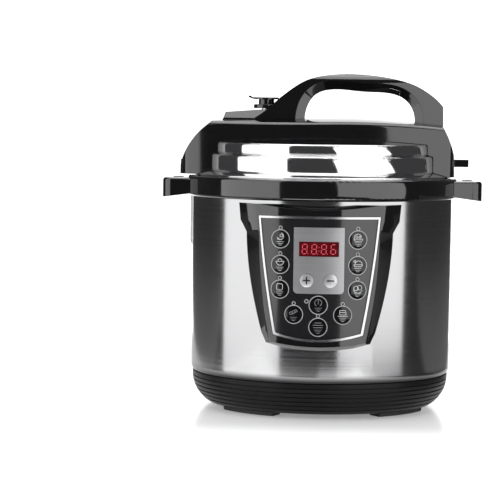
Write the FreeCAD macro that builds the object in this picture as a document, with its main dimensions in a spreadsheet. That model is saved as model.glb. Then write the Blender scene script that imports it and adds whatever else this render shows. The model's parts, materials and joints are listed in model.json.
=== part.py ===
import FreeCAD, Part
import math
import os
import Sketcher

# Electric pressure cooker, about 6 litres. Millimetres, +Z up, the front panel faces -Y, the
# side handles and the lid's handle lie along X, and the origin is under the middle of the feet.

DIMENSIONS = {
    # steel housing
    "shell_radius": 130.0, "shell_wall": 0.8, "shell_foot": 35.0, "shell_head": 214.0,
    "shell_roll": 11.0, "shell_roll_rise": 7.0,
    "window_half": 47.0, "window_foot": 86.0, "window_head": 193.0,
    # base cover and feet
    "base_radius": 128.3, "base_under": 4.0, "base_wall": 2.5, "base_bend": 32.5,
    "base_shoulder": 32.0, "base_ledge": 34.8, "base_spigot": 126.3, "base_head": 42.0,
    "rib_count": 6.0, "rib_first": 8.0, "rib_pitch": 4.4, "rib_gap": 1.1, "rib_depth": 0.9,
    "vent_inner": 58.0, "vent_outer": 88.0, "vent_half": 1.6, "vent_count": 24.0,
    "foot_outer": 111.0, "foot_inner": 93.0, "foot_sweep": 34.0, "foot_turn": 5.0,
    "base_screw_ring": 40.0,
    # collar
    "collar_radius": 135.0, "collar_foot": 210.0, "collar_head": 230.2, "collar_bore": 127.2,
    "collar_shelf": 219.8, "collar_shelf_bore": 118.2, "collar_web": 2.5, "collar_skin": 1.4,
    # side handles
    "grip_reach": 159.0, "grip_root": 34.0, "grip_half": 30.0, "grip_head": 227.8,
    "grip_foot_root": 212.3, "grip_foot_end": 208.0, "grip_skin": 3.2, "grip_roof": 3.6,
    "grip_corner": 10.0, "grip_root_wall": 4.0, "slot_near": 139.5, "slot_far": 150.5,
    "slot_half": 17.0, "grip_screw_offset": 15.0, "grip_screw_height": 219.0, "screw_radius": 1.6,
    # liner and its claws
    "liner_bore": 115.0, "liner_wall": 1.2, "liner_floor": 27.0, "liner_hole": 86.0,
    "liner_bend": 14.0, "liner_rim": 126.4, "liner_shelf": 220.0, "liner_head": 229.6,
    "claw_bore": 118.0, "claw_foot": 227.4, "claw_sweep": 24.0, "claw_count": 6.0,
    # inner pot
    "pot_radius": 111.5, "pot_wall": 1.6, "pot_under": 44.2, "pot_floor": 2.6, "pot_bend": 9.0,
    "pot_head": 222.0, "pot_rim": 114.5, "pot_rim_depth": 1.6,
    # heating plate, tube, spring disc, sensor, switch
    "plate_radius": 99.0, "plate_under": 32.0, "plate_head": 44.0, "plate_bore": 14.0,
    "tube_ring": 72.0, "tube_radius": 4.0, "tube_gap": 0.2, "tube_level": 31.0, "tube_sweep": 310.0,
    "terminal_radius": 2.6, "terminal_foot": 17.5,
    "disc_radius": 96.0, "disc_bore": 20.0, "disc_edge": 26.9, "disc_middle": 22.0, "disc_wall": 1.2,
    "sensor_radius": 12.6, "sensor_cap": 3.0, "sensor_stem": 6.0, "sensor_foot": 26.0,
    "sensor_head": 44.0, "holder_radius": 9.0, "holder_bore": 6.3, "holder_foot": 6.5,
    "holder_head": 30.0, "holder_floor": 2.0, "spring_radius": 4.6, "spring_wire": 0.9,
    "spring_pitch": 2.7, "fuse_radius": 3.2, "fuse_length": 16.0,
    "fuse_level": 19.8,
    # boards
    "board_level": 11.0, "board_wall": 1.6, "board_near": 38.0, "board_far": 96.0,
    "board_half": 46.0, "post_radius": 3.0,
    "control_front": 126.6, "control_half": 38.0, "control_foot": 92.0, "control_head": 188.0,
    # control panel, as shells around the cooker's axis
    "bezel_front": 139.0, "bezel_back": 130.3, "bezel_start": 104.0, "bezel_middle": 126.0,
    "bezel_top_half": 78.3, "bezel_top": 207.0, "bezel_ear_half": 77.6, "bezel_ear": 190.5,
    "bezel_neck_half": 74.7, "bezel_neck": 179.5, "bezel_side_bend": 560.0,
    "bezel_heel_half": 65.6, "bezel_heel": 84.0, "bezel_toe_half": 60.1, "bezel_toe": 74.0,
    "bezel_toe_bend": 136.0, "bezel_side_draft": 17.0, "bezel_front_draft": 3.4,
    "bezel_top_bevel": 5.0, "bezel_toe_bevel": 5.0,
    "face_top_half": 58.4, "face_top": 196.0, "face_low_half": 43.0, "face_low": 83.0,
    "face_side_bend": 1100.0, "face_low_bend": 145.0,
    "trim_wall": 2.2, "trim_front": 138.6, "trim_back": 136.0, "seat_radius": 135.5,
    "seat_ledge": 3.8, "overlay_front": 137.0, "panel_gap": 0.2,
    "plaque_half": 24.1, "plaque_head": 185.6, "plaque_foot": 122.6, "plaque_corner": 4.0,
    "plaque_front": 137.8, "lens_half": 18.8, "lens_head": 172.0, "lens_foot": 158.2,
    "lens_front": 137.6, "film_back": 133.4, "film_front": 133.8, "dome_front": 134.5,
    "dome_radius": 4.0, "module_half": 18.0, "module_deep": 7.5,
    # keys
    "key_radius": 8.2, "key_back": 135.2, "key_edge": 137.3, "key_crown": 138.0, "key_gap": 0.25,
    "small_key_radius": 6.6, "small_key_edge": 138.2, "small_key_crown": 139.0,
    "outer_turn": 15.6, "lower_turn": 9.8, "small_turn": 4.72,
    "row_one": 174.2, "row_two": 149.8, "row_three": 126.2, "row_lower": 102.5,
    "row_stop": 111.8, "row_last": 90.8, "row_small": 135.2,
    "lamp_radius": 1.1, "lamp_rise": 10.6, "lamp_back": 135.6, "lamp_front": 137.35,
    # lid pan
    "lid_wall": 1.2, "flange_radius": 126.0, "flange_foot": 230.2, "flange_edge": 232.0,
    "flange_root": 235.2, "step_radius": 114.0, "step_head": 252.0, "crest_radius": 108.9,
    "crest_foot": 253.4, "crest_head": 263.6, "lid_head": 268.8, "dome_bend": 1101.0,
    "lid_soft": 2.0, "skirt_foot": 224.0, "lug_radius": 120.5, "lug_head": 226.2,
    "lug_sweep": 20.0, "lid_clear": 0.3,
    # cover over the lid
    "cover_half": 43.5, "cover_bow": 535.0, "cover_left": 143.0, "cover_right": 132.3,
    "left_corner": 20.0, "right_corner": 10.0, "cover_foot": 231.5,
    "cover_skin": 2.8, "crown_level": 116.0, "cover_soft": 5.0,
    "shoulder_left": 110.5, "shoulder_left_level": 286.8, "mid_level": 289.2,
    "shoulder_right": 120.0, "shoulder_right_level": 282.6,
    "left_end_bend": 76.0, "right_end_bend": 95.0, "top_bend": 750.0,
    "tab_half": 14.0, "tab_right": 145.6, "tab_right_foot": 241.6, "tab_left": 141.8,
    "tab_left_foot": 238.6, "tab_deep": 7.4,
    # valve mound on the cover
    "mound_left": 103.5, "mound_right": 40.0, "mound_foot": 276.0, "mound_step": 293.6,
    "mound_head": 297.2, "mound_half": 20.0, "mound_bevel": 8.0, "mound_brink": 287.8,
    # handle over the lid
    "handle_half": 26.0, "handle_foot": 274.0, "handle_bow": 515.0, "fork_half": 13.5,
    "fork_right": 43.8, "fork_head": 311.0, "brink_across": 7.0, "brink_along": 9.0,
    "insert_half": 10.0, "insert_deep": 5.0,
    "insert_left": -8.0, "insert_right": 80.0, "insert_foot": 300.0, "handle_gap": 0.15,
    # pressure valve and float valve
    "valve_place": 57.3, "valve_skirt": 12.6, "valve_foot": 297.6, "valve_skirt_head": 301.6,
    "valve_stem": 7.8, "valve_cap": 12.6, "valve_cap_foot": 306.6, "valve_head": 308.6,
    "valve_bore": 4.6, "valve_bore_head": 304.0, "valve_lever": 17.8, "valve_lever_half": 4.0,
    "valve_lever_rise": 1.6, "valve_lever_wall": 1.6,
    "pipe_radius": 4.5, "pipe_bore": 2.0, "pipe_foot": 250.0, "pipe_head": 303.0,
    "pipe_hole": 6.0, "nut_across": 8.0, "nut_deep": 5.0, "shield_radius": 13.0,
    "shield_foot": 244.0, "shield_wall": 1.2,
    "float_across": 40.0, "float_back": 29.0, "float_radius": 2.4, "float_cap": 4.2,
    "float_foot": 254.0, "float_rest": 268.0, "float_head": 282.0, "float_washer": 6.0, "float_hole": 2.7,
    "float_well": 5.2,
    # sealing ring and inner plate
    "seal_bore": 104.0, "seal_radius": 112.2, "seal_foot": 222.3, "seal_head": 229.0,
    "seal_lip": 2.2, "inner_radius": 103.4, "inner_foot": 227.0, "inner_wall": 1.2,
    "stud_radius": 4.0,
    # condensate cup at the back left
    "cup_turn": -123.0, "cup_back": 131.6, "cup_front": 151.0, "cup_half": 25.0, "cup_foot": 154.0,
    "cup_head": 207.6, "cup_wall": 1.6, "cup_corner": 8.0, "rail_front": 133.6,
    "rail_foot": 166.0, "cap_head": 209.7,
    # mains inlet at the back
    "inlet_half": 17.0, "inlet_foot": 47.0, "inlet_head": 74.0, "inlet_face": 139.0,
    "inlet_back": 117.6, "socket_half": 12.3, "socket_foot": 52.6, "socket_head": 69.2,
    "socket_floor": 121.0, "pin_half": 2.0, "pin_deep": 11.0, "pin_pitch": 7.0,
}

FAR = 400.0  # reaches past the whole object, for cuts that go right through


class Size:
    """A sheet dimension, or a sum of some, that remembers the expression it came from."""

    def __init__(self, value, text):
        self.value = float(value)
        self.text = text

    def joined(self, sign, other, value):
        return Size(value, f"({self.text} {sign} {sized(other).text})")

    def __add__(self, other):
        return self.joined("+", other, self.value + sized(other).value)

    def __sub__(self, other):
        return self.joined("-", other, self.value - sized(other).value)

    def __mul__(self, other):
        return self.joined("*", other, self.value * sized(other).value)

    def __truediv__(self, other):
        return self.joined("/", other, self.value / sized(other).value)

    def __radd__(self, other):
        return sized(other) + self

    def __rsub__(self, other):
        return sized(other) - self

    def __rmul__(self, other):
        return sized(other) * self

    def __rtruediv__(self, other):
        return sized(other) / self

    def __neg__(self):
        return 0 - self

    def root(self):
        return Size(math.sqrt(self.value), f"sqrt({self.text})")


def sized(value):
    return value if isinstance(value, Size) else Size(value, repr(float(value)))


class Sheet:
    """The driving dimensions by name: d.shell_radius is a Size bound to that cell."""

    def __getattr__(self, alias):
        return Size(DIMENSIONS[alias], "Sizes." + alias)


class Bend:
    """Placed between two corners of a loop: that side is an arc, turning left or right."""

    def __init__(self, radius, left=True):
        self.radius = sized(radius)
        self.left = left


d = Sheet()
doc = FreeCAD.newDocument("pressure_cooker")
parts = {}


def write_sheet():
    sheet = doc.addObject("Spreadsheet::Sheet", "Sizes")
    for row, (alias, value) in enumerate(DIMENSIONS.items(), start=1):
        sheet.set(f"A{row}", alias)
        sheet.set(f"B{row}", str(value))
        sheet.setAlias(f"B{row}", alias)
    doc.recompute()


# ---------------------------------------------------------------- sketches and features

def bind(thing, path, size):
    """Ties a property to its sheet expression; a plain number is left as it is."""
    if "Sizes." in size.text:
        thing.setExpression(path, size.text)


def pin(sketch, kind, index, end, size):
    which = sketch.addConstraint(Sketcher.Constraint(kind, -1, 1, index, end, size.value))
    bind(sketch, f"Constraints[{which}]", size)


def arc_between(start, end, radius, left):
    """The short arc from start to end, and whether its own direction is the other way."""
    half = (end - start) * 0.5
    rise = math.sqrt(max(radius ** 2 - half.Length ** 2, 0.0))
    side = FreeCAD.Vector(-half.y, half.x, 0).normalize() * (rise if left else -rise)
    centre = start + half + side
    first, last = (start, end) if left else (end, start)
    a0 = math.atan2(first.y - centre.y, first.x - centre.x)
    a1 = math.atan2(last.y - centre.y, last.x - centre.x)
    if a1 <= a0:
        a1 += 2 * math.pi
    circle = Part.Circle(centre, FreeCAD.Vector(0, 0, 1), radius)
    return Part.ArcOfCircle(circle, a0, a1), not left


def add_loop(sketch, loop):
    """Draws a closed loop of (x, y) corners, fully constrained to the sheet."""
    corners, bends = [], {}
    for item in loop:
        if isinstance(item, Bend):
            bends[len(corners) - 1] = item
        else:
            corners.append((sized(item[0]), sized(item[1])))
    points = [FreeCAD.Vector(x.value, y.value, 0) for x, y in corners]
    starts, ends = [], []
    for i, here in enumerate(points):
        there = points[(i + 1) % len(points)]
        swapped = False
        if i in bends:
            side, swapped = arc_between(here, there, bends[i].radius.value, bends[i].left)
        else:
            side = Part.LineSegment(here, there)
        index = sketch.addGeometry(side, False)
        starts.append((index, 2 if swapped else 1))
        ends.append((index, 1 if swapped else 2))
    for i, end in enumerate(ends):
        start = starts[(i + 1) % len(starts)]
        sketch.addConstraint(Sketcher.Constraint("Coincident", *end, *start))
    for (x, y), (index, end) in zip(corners, starts):
        pin(sketch, "DistanceX", index, end, x)
        pin(sketch, "DistanceY", index, end, y)
    for i, bend in bends.items():
        which = sketch.addConstraint(
            Sketcher.Constraint("Radius", starts[i][0], bend.radius.value))
        bind(sketch, f"Constraints[{which}]", bend.radius)


def add_circle(sketch, x, y, radius):
    x, y, radius = sized(x), sized(y), sized(radius)
    centre = FreeCAD.Vector(x.value, y.value, 0)
    circle = Part.Circle(centre, FreeCAD.Vector(0, 0, 1), radius.value)
    index = sketch.addGeometry(circle, False)
    pin(sketch, "DistanceX", index, 3, x)
    pin(sketch, "DistanceY", index, 3, y)
    which = sketch.addConstraint(Sketcher.Constraint("Radius", index, radius.value))
    bind(sketch, f"Constraints[{which}]", radius)


def origin_item(body, role):
    return next(item for item in body.Origin.OriginFeatures if item.Role == role)


def new_body(label):
    body = doc.addObject("PartDesign::Body", label)
    body.Label = label
    return body


def new_sketch(body, role, loops=(), circles=(), lift=0, rise=0, tilt=0):
    """A sketch on an origin plane of its body, lifted along its normal, raised or tilted."""
    lift, rise, tilt = sized(lift), sized(rise), sized(tilt)
    sketch = body.newObject("Sketcher::SketchObject", body.Name + "_sketch")
    sketch.AttachmentSupport = [(origin_item(body, role), "")]
    sketch.MapMode = "FlatFace"
    turn = FreeCAD.Rotation(FreeCAD.Vector(0, 1, 0), tilt.value)
    shift = turn.multVec(FreeCAD.Vector(0, rise.value, lift.value))
    sketch.AttachmentOffset = FreeCAD.Placement(shift, turn)
    if not tilt.value:
        bind(sketch, "AttachmentOffset.Base.z", lift)
        bind(sketch, "AttachmentOffset.Base.y", rise)
    for loop in loops:
        add_loop(sketch, loop)
    for circle in circles:
        add_circle(sketch, *circle)
    return sketch


def revolve(body, sketch, angle=360, cut=False, axis="V_Axis", middle=False):
    kind = "Groove" if cut else "Revolution"
    feature = body.newObject("PartDesign::" + kind, f"{body.Name}_{kind.lower()}")
    feature.Profile = sketch
    feature.ReferenceAxis = (sketch, [axis])
    angle = sized(angle)
    feature.Angle = angle.value
    bind(feature, "Angle", angle)
    feature.Midplane = middle
    sketch.Visibility = False
    return feature


def pad(body, sketch, length, cut=False, middle=False, back=False):
    """Pad or Pocket along the sketch's normal, or against it with back=True."""
    kind = "Pocket" if cut else "Pad"
    feature = body.newObject("PartDesign::" + kind, f"{body.Name}_{kind.lower()}")
    feature.Profile = sketch
    length = sized(length)
    feature.Length = length.value
    bind(feature, "Length", length)
    feature.Midplane = middle
    feature.Reversed = back != cut
    return feature


def around(body, feature, count):
    pattern = body.newObject("PartDesign::PolarPattern", body.Name + "_pattern")
    pattern.Originals = [feature]
    pattern.Axis = (origin_item(body, "Z_Axis"), [""])
    pattern.Angle = 360
    pattern.Occurrences = int(count.value)
    bind(pattern, "Occurrences", count)
    body.Tip = pattern
    return pattern


def soften(body, radius, chosen):
    """Rounds the edges of the body that chosen(edge) picks."""
    doc.recompute()
    base = body.Tip
    names = [f"Edge{i}" for i, e in enumerate(base.Shape.Edges, start=1) if chosen(e)]
    feature = body.newObject("PartDesign::Fillet", body.Name + "_fillet")
    feature.Base = (base, names)
    radius = sized(radius)
    feature.Radius = radius.value
    bind(feature, "Radius", radius)
    return feature


def place(thing, label, x=0, y=0, z=0, turn=0):
    """Puts a finished sub-part in the cooker's frame and lists it for export."""
    x, y, z, turn = sized(x), sized(y), sized(z), sized(turn)
    rotation = FreeCAD.Rotation(FreeCAD.Vector(0, 0, 1), turn.value)
    thing.Placement = FreeCAD.Placement(FreeCAD.Vector(x.value, y.value, z.value), rotation)
    for path, size in (("Base.x", x), ("Base.y", y), ("Base.z", z)):
        bind(thing, "Placement." + path, size)
    if turn.value:
        bind(thing, "Placement.Rotation.Angle", turn)
    return keep(thing, label)


def keep(thing, label):
    thing.Label = label
    parts[label] = thing
    return thing


def cut_from(base, tool, name):
    made = doc.addObject("Part::Cut", name)
    made.Base = base
    made.Tool = tool
    return made


def group(label, things):
    made = doc.addObject("Part::Compound", label)
    made.Links = things
    return keep(made, label)


def cylinder(name, radius, height, x=0, y=0, z=0, along=None):
    """A Part cylinder from (x, y, z) along +Z, or along another direction."""
    made = doc.addObject("Part::Cylinder", name)
    radius, height, x, y, z = (sized(v) for v in (radius, height, x, y, z))
    made.Radius, made.Height = radius.value, height.value
    bind(made, "Radius", radius)
    bind(made, "Height", height)
    turn = FreeCAD.Rotation(FreeCAD.Vector(0, 0, 1), along or FreeCAD.Vector(0, 0, 1))
    made.Placement = FreeCAD.Placement(FreeCAD.Vector(x.value, y.value, z.value), turn)
    for path, size in (("Base.x", x), ("Base.y", y), ("Base.z", z)):
        bind(made, "Placement." + path, size)
    return made


def box(name, low, high):
    """A Part box between two corners."""
    made = doc.addObject("Part::Box", name)
    low, high = [sized(v) for v in low], [sized(v) for v in high]
    for side, a, b in zip(("Length", "Width", "Height"), low, high):
        setattr(made, side, (b - a).value)
        bind(made, side, b - a)
    made.Placement.Base = FreeCAD.Vector(*[v.value for v in low])
    for path, size in zip(("Base.x", "Base.y", "Base.z"), low):
        bind(made, "Placement." + path, size)
    return made


def ring(label, *loops):
    """A turned part: its profile is drawn as (radius, height) and revolved about Z."""
    body = new_body(label)
    revolve(body, new_sketch(body, "XZ_Plane", loops))
    return keep(body, label)


def block(x0, z0, x1, z1):
    """A rectangle as a loop."""
    return [(x0, z0), (x1, z0), (x1, z1), (x0, z1)]


# ---------------------------------------------------------------- base, housing, collar

def base_cover():
    centre = d.base_radius - d.base_bend
    drop = d.base_shoulder - d.base_under
    inner_bend = d.base_bend - d.base_wall
    floor = d.base_under + d.base_wall
    inner_drop = d.base_shoulder - floor
    low = centre + (d.base_bend * d.base_bend - drop * drop).root()
    inner_low = centre + (inner_bend * inner_bend - inner_drop * inner_drop).root()
    spigot_bore = d.base_spigot - d.base_wall
    body = ring("base_cover", [
        (0, d.base_under), (low, d.base_under), Bend(d.base_bend),
        (d.base_radius, d.base_shoulder), (d.base_radius, d.base_ledge),
        (d.base_spigot, d.base_ledge), (d.base_spigot, d.base_head),
        (spigot_bore, d.base_head), (spigot_bore, d.base_ledge),
        (centre + inner_bend, d.base_shoulder), Bend(inner_bend, left=False),
        (inner_low, floor), (0, floor)])
    grooves = []
    for i in range(int(d.rib_count.value)):
        level = d.rib_first + d.rib_pitch * i
        away = d.base_shoulder - level
        skin = centre + (d.base_bend * d.base_bend - away * away).root()
        grooves.append([(skin - d.rib_depth, level), (skin + 6, level - 3),
                        (skin + 6, level + d.rib_gap), (skin - d.rib_depth, level + d.rib_gap)])
    revolve(body, new_sketch(body, "XZ_Plane", grooves), cut=True)
    slot = new_sketch(body, "XY_Plane",
                      [block(d.vent_inner, -d.vent_half, d.vent_outer, d.vent_half)])
    vents = pad(body, slot, floor + 1, cut=True)
    around(body, vents, d.vent_count)
    screw_holes = new_sketch(body, "XY_Plane", circles=[
        (x, y, d.screw_radius + 0.05) for x, y in base_screw_spots()])
    pad(body, screw_holes, floor + 1, cut=True)


def base_screw_spots():
    turns = [math.radians(a) for a in (90, 210, 330)]
    return [(d.base_screw_ring * math.cos(a), d.base_screw_ring * math.sin(a)) for a in turns]


def feet():
    made = []
    for i in range(4):
        body = new_body(f"foot_{i + 1}")
        profile = new_sketch(body, "XZ_Plane", [[
            (d.foot_inner + 1, 0), (d.foot_outer - 1, 0), (d.foot_outer, 1),
            (d.foot_outer, d.base_under), (d.foot_inner, d.base_under), (d.foot_inner, 1)]])
        revolve(body, profile, angle=d.foot_sweep, middle=True)
        turn = d.foot_turn + 45 + 90 * i
        body.Placement.Rotation = FreeCAD.Rotation(FreeCAD.Vector(0, 0, 1), turn.value)
        bind(body, "Placement.Rotation.Angle", turn)
        made.append(body)
    group("feet", made)


def steel_housing():
    centre = d.shell_radius - d.shell_roll
    top_of_roll = d.shell_foot + d.shell_roll_rise
    low = centre + (d.shell_roll * d.shell_roll - d.shell_roll_rise * d.shell_roll_rise).root()
    inner_roll = d.shell_roll - d.shell_wall
    inner = centre + (inner_roll * inner_roll - d.shell_roll_rise * d.shell_roll_rise).root()
    bore = d.shell_radius - d.shell_wall
    body = ring("steel_housing", [
        (inner, d.shell_foot), (low, d.shell_foot), Bend(d.shell_roll),
        (d.shell_radius, top_of_roll), (d.shell_radius, d.shell_head), (bore, d.shell_head),
        (bore, top_of_roll), Bend(inner_roll, left=False)])
    front = new_sketch(body, "XZ_Plane", [
        block(-d.window_half, d.window_foot, d.window_half, d.window_head)])
    pad(body, front, FAR, cut=True)
    back = new_sketch(body, "XZ_Plane", [
        block(-d.inlet_half - 0.3, d.inlet_foot - 0.3, d.inlet_half + 0.3, d.inlet_head + 0.3)])
    pad(body, back, FAR, cut=True, back=True)


def collar():
    skirt = d.shell_radius + 0.2
    inner_skirt = d.shell_radius - d.shell_wall - 0.2
    under_shelf = d.collar_shelf - d.collar_web
    inner_face = inner_skirt - d.collar_skin
    body = ring("collar", [
        (skirt, d.collar_foot), (d.collar_radius - 3.2, d.collar_foot), Bend(3.2),
        (d.collar_radius, d.collar_foot + 3.2), (d.collar_radius, d.collar_head - 2.4), Bend(2.4),
        (d.collar_radius - 2.4, d.collar_head), (d.collar_bore + 1, d.collar_head),
        (d.collar_bore, d.collar_head - 1), (d.collar_bore, d.collar_shelf),
        (d.collar_shelf_bore, d.collar_shelf), (d.collar_shelf_bore, under_shelf),
        (inner_face, under_shelf), (inner_face, d.collar_foot + 0.5),
        (inner_skirt, d.collar_foot + 0.5), (inner_skirt, d.shell_head + 0.3),
        (skirt, d.shell_head + 0.3)])
    holes = new_sketch(body, "YZ_Plane", circles=[
        (d.grip_screw_offset, d.grip_screw_height, d.screw_radius + 0.05),
        (-d.grip_screw_offset, d.grip_screw_height, d.screw_radius + 0.05)])
    pad(body, holes, FAR, cut=True, middle=True)


def side_handle(label, turn):
    """A hollow grip with a slot in its roof, open below, screwed to the collar."""
    body = new_body(label)
    corner = d.grip_corner
    straight = d.grip_reach - corner
    plan = [(d.collar_radius - 5, -d.grip_root), (straight, -d.grip_half), Bend(corner),
            (d.grip_reach, -d.grip_half + corner), (d.grip_reach, d.grip_half - corner),
            Bend(corner), (straight, d.grip_half), (d.collar_radius - 5, d.grip_root)]
    pad(body, new_sketch(body, "XY_Plane", [plan], lift=d.grip_foot_end),
        d.grip_head - d.grip_foot_end)
    soften(body, 3.0, lambda e: e.BoundBox.ZMin > d.grip_head.value - 0.01
           and e.BoundBox.XMax > d.collar_radius.value)
    skin = d.grip_skin
    root = d.collar_radius + d.grip_root_wall
    hollow = [(root, -d.grip_half + skin), (straight, -d.grip_half + skin), Bend(corner - skin),
              (d.grip_reach - skin, -d.grip_half + corner),
              (d.grip_reach - skin, d.grip_half - corner), Bend(corner - skin),
              (straight, d.grip_half - skin), (root, d.grip_half - skin)]
    pad(body, new_sketch(body, "XY_Plane", [hollow], lift=d.grip_foot_end - 1),
        d.grip_head - d.grip_roof - d.grip_foot_end + 1, cut=True)
    middle = (d.slot_near + d.slot_far) / 2
    slot_bend = (d.slot_far - d.slot_near) / 2
    slot = [(d.slot_far, -d.slot_half + slot_bend), (d.slot_far, d.slot_half - slot_bend),
            Bend(slot_bend), (middle, d.slot_half), Bend(slot_bend),
            (d.slot_near, d.slot_half - slot_bend), (d.slot_near, -d.slot_half + slot_bend),
            Bend(slot_bend), (middle, -d.slot_half), Bend(slot_bend)]
    pad(body, new_sketch(body, "XY_Plane", [slot], lift=d.grip_foot_end), FAR, cut=True)
    under = [(d.collar_radius - 6, d.grip_foot_end - 5), (d.grip_reach + 1, d.grip_foot_end - 5),
             (d.grip_reach + 1, d.grip_foot_end), (d.collar_radius - 6, d.grip_foot_root)]
    pad(body, new_sketch(body, "XZ_Plane", [under]), FAR, cut=True, middle=True)
    revolve(body, new_sketch(body, "XZ_Plane", [
        block(0, d.grip_foot_end - 5, d.collar_radius + 0.05, d.grip_head + 5)]), cut=True)
    holes = new_sketch(body, "YZ_Plane", circles=[
        (d.grip_screw_offset, d.grip_screw_height, d.screw_radius + 0.05),
        (-d.grip_screw_offset, d.grip_screw_height, d.screw_radius + 0.05)])
    pad(body, holes, d.grip_reach - d.grip_skin - 1, cut=True)
    place(body, label, turn=turn)


def screw(name, length, head, head_wall):
    """A pan-head screw: the head's flat face at the origin, the shank along +Z."""
    body = new_body(name)
    head, head_wall = sized(head), sized(head_wall)
    revolve(body, new_sketch(body, "XZ_Plane", [[
        (0, -head_wall), (head * 0.6, -head_wall), Bend(head_wall * 1.4), (head, -0.5),
        (head, 0), (d.screw_radius, 0), (d.screw_radius, length), (0, length)]]))
    cross = new_sketch(body, "XY_Plane", [block(-head * 0.5, -0.4, head * 0.5, 0.4)],
                       lift=-head_wall - 1)
    pad(body, cross, 1.9, cut=True)
    other = new_sketch(body, "XY_Plane", [block(-0.4, -head * 0.5, 0.4, head * 0.5)],
                       lift=-head_wall - 1)
    pad(body, other, 1.9, cut=True)
    return body


def screws_at(label, spots, length, head=3.4, head_wall=2.2):
    """Identical screws in one node: each spot is (x, y, z) and the way its shank points."""
    made = []
    for i, (spot, way) in enumerate(spots):
        body = screw(f"{label}_{i + 1}", length, head, head_wall)
        x, y, z = (sized(v) for v in spot)
        turn = FreeCAD.Rotation(FreeCAD.Vector(0, 0, 1), FreeCAD.Vector(*way))
        body.Placement = FreeCAD.Placement(FreeCAD.Vector(x.value, y.value, z.value), turn)
        for path, size in (("Base.x", x), ("Base.y", y), ("Base.z", z)):
            bind(body, "Placement." + path, size)
        made.append(body)
    group(label, made)


def fasteners():
    root = d.collar_radius + d.grip_root_wall
    screws_at("handle_screws", [
        ((side * root, y * d.grip_screw_offset, d.grip_screw_height), (-side, 0, 0))
        for side in (1, -1) for y in (1, -1)], length=10.0)
    screws_at("base_screws", [((x, y, d.base_under), (0, 0, 1)) for x, y in base_screw_spots()],
              length=d.base_wall + 4)


# ---------------------------------------------------------------- liner, heater, electrics

def liner():
    inner, wall = d.liner_bore, d.liner_wall
    body = ring("liner", [
        (d.liner_hole, d.liner_floor), (inner - d.liner_bend, d.liner_floor),
        Bend(d.liner_bend + wall), (inner + wall, d.liner_floor + d.liner_bend + wall),
        (inner + wall, d.liner_shelf - wall), (inner + 2 * wall, d.liner_shelf),
        (d.liner_rim, d.liner_shelf), (d.liner_rim, d.liner_head),
        (d.liner_rim - wall, d.liner_head), (d.liner_rim - wall, d.liner_shelf + wall),
        (inner + wall, d.liner_shelf + wall), (inner, d.liner_shelf),
        (inner, d.liner_floor + d.liner_bend + wall), Bend(d.liner_bend, left=False),
        (inner - d.liner_bend, d.liner_floor + wall), (d.liner_hole, d.liner_floor + wall)])
    claw = revolve(body, new_sketch(body, "XZ_Plane", [
        block(d.claw_bore, d.claw_foot, d.liner_rim - wall / 2, d.liner_head)]),
        angle=d.claw_sweep, middle=True)
    around(body, claw, d.claw_count)
    place(body, "liner", turn=180 / d.claw_count)


def inner_pot():
    outer, wall = d.pot_radius, d.pot_wall
    floor = d.pot_under + d.pot_floor
    rim_foot = d.pot_head - d.pot_rim_depth
    ring("inner_pot", [
        (0, d.pot_under), (outer - d.pot_bend, d.pot_under), Bend(d.pot_bend),
        (outer, d.pot_under + d.pot_bend), (outer, rim_foot - 1), (outer + 1, rim_foot),
        (d.pot_rim, rim_foot), (d.pot_rim, d.pot_head - 0.6), (d.pot_rim - 0.6, d.pot_head),
        (outer - wall, d.pot_head), (outer - wall, floor + d.pot_bend - wall),
        Bend(d.pot_bend - wall, left=False), (outer - d.pot_bend, floor), (0, floor)])


def heater():
    body = ring("heating_plate", [
        (d.plate_bore, d.plate_under), (d.plate_radius - 4, d.plate_under),
        (d.plate_radius, d.plate_under + 3), (d.plate_radius, d.plate_head - 3), Bend(3),
        (d.plate_radius - 3, d.plate_head), (d.plate_bore, d.plate_head)])
    groove = new_sketch(body, "XZ_Plane", circles=[
        (d.tube_ring, d.tube_level, d.tube_radius + d.tube_gap)])
    revolve(body, groove, cut=True)
    tube = doc.addObject("Part::Torus", "tube_ring")
    tube.Angle3 = d.tube_sweep.value
    bind(tube, "Radius1", d.tube_ring)
    bind(tube, "Radius2", d.tube_radius)
    bind(tube, "Placement.Base.z", d.tube_level)
    ends = []
    for i, angle in enumerate((3.0, DIMENSIONS["tube_sweep"] - 3.0)):
        turn = math.radians(angle)
        ends.append(cylinder(f"tube_terminal_{i + 1}", d.terminal_radius,
                             d.tube_level - d.terminal_foot, d.tube_ring * math.cos(turn),
                             d.tube_ring * math.sin(turn), d.terminal_foot))
    fuse = doc.addObject("Part::MultiFuse", "heating_tube")
    fuse.Shapes = [tube, *ends]
    keep(fuse, "heating_tube")
    disc = ring("spring_disc", [
        (d.disc_bore, d.disc_middle), (d.disc_bore + 14, d.disc_middle),
        (d.disc_radius - 12, d.disc_edge - d.disc_wall), (d.disc_radius, d.disc_edge - d.disc_wall),
        (d.disc_radius, d.disc_edge), (d.disc_radius - 12, d.disc_edge),
        (d.disc_bore + 14, d.disc_middle + d.disc_wall), (d.disc_bore, d.disc_middle + d.disc_wall)])
    clear = new_sketch(disc, "XZ_Plane", [
        block(d.tube_ring - 6, d.disc_middle - 2, d.tube_ring + 6, d.disc_edge + 2)])
    around(disc, revolve(disc, clear, angle=40, cut=True, middle=True), sized(6))
    posts = [cylinder(f"plate_post_{i + 1}", d.post_radius, d.plate_under - d.disc_middle
                      - d.disc_wall, 27 * math.cos(a), 27 * math.sin(a),
                      d.disc_middle + d.disc_wall)
             for i, a in enumerate(math.radians(x) for x in (60, 180, 300))]
    group("plate_posts", posts)


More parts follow.
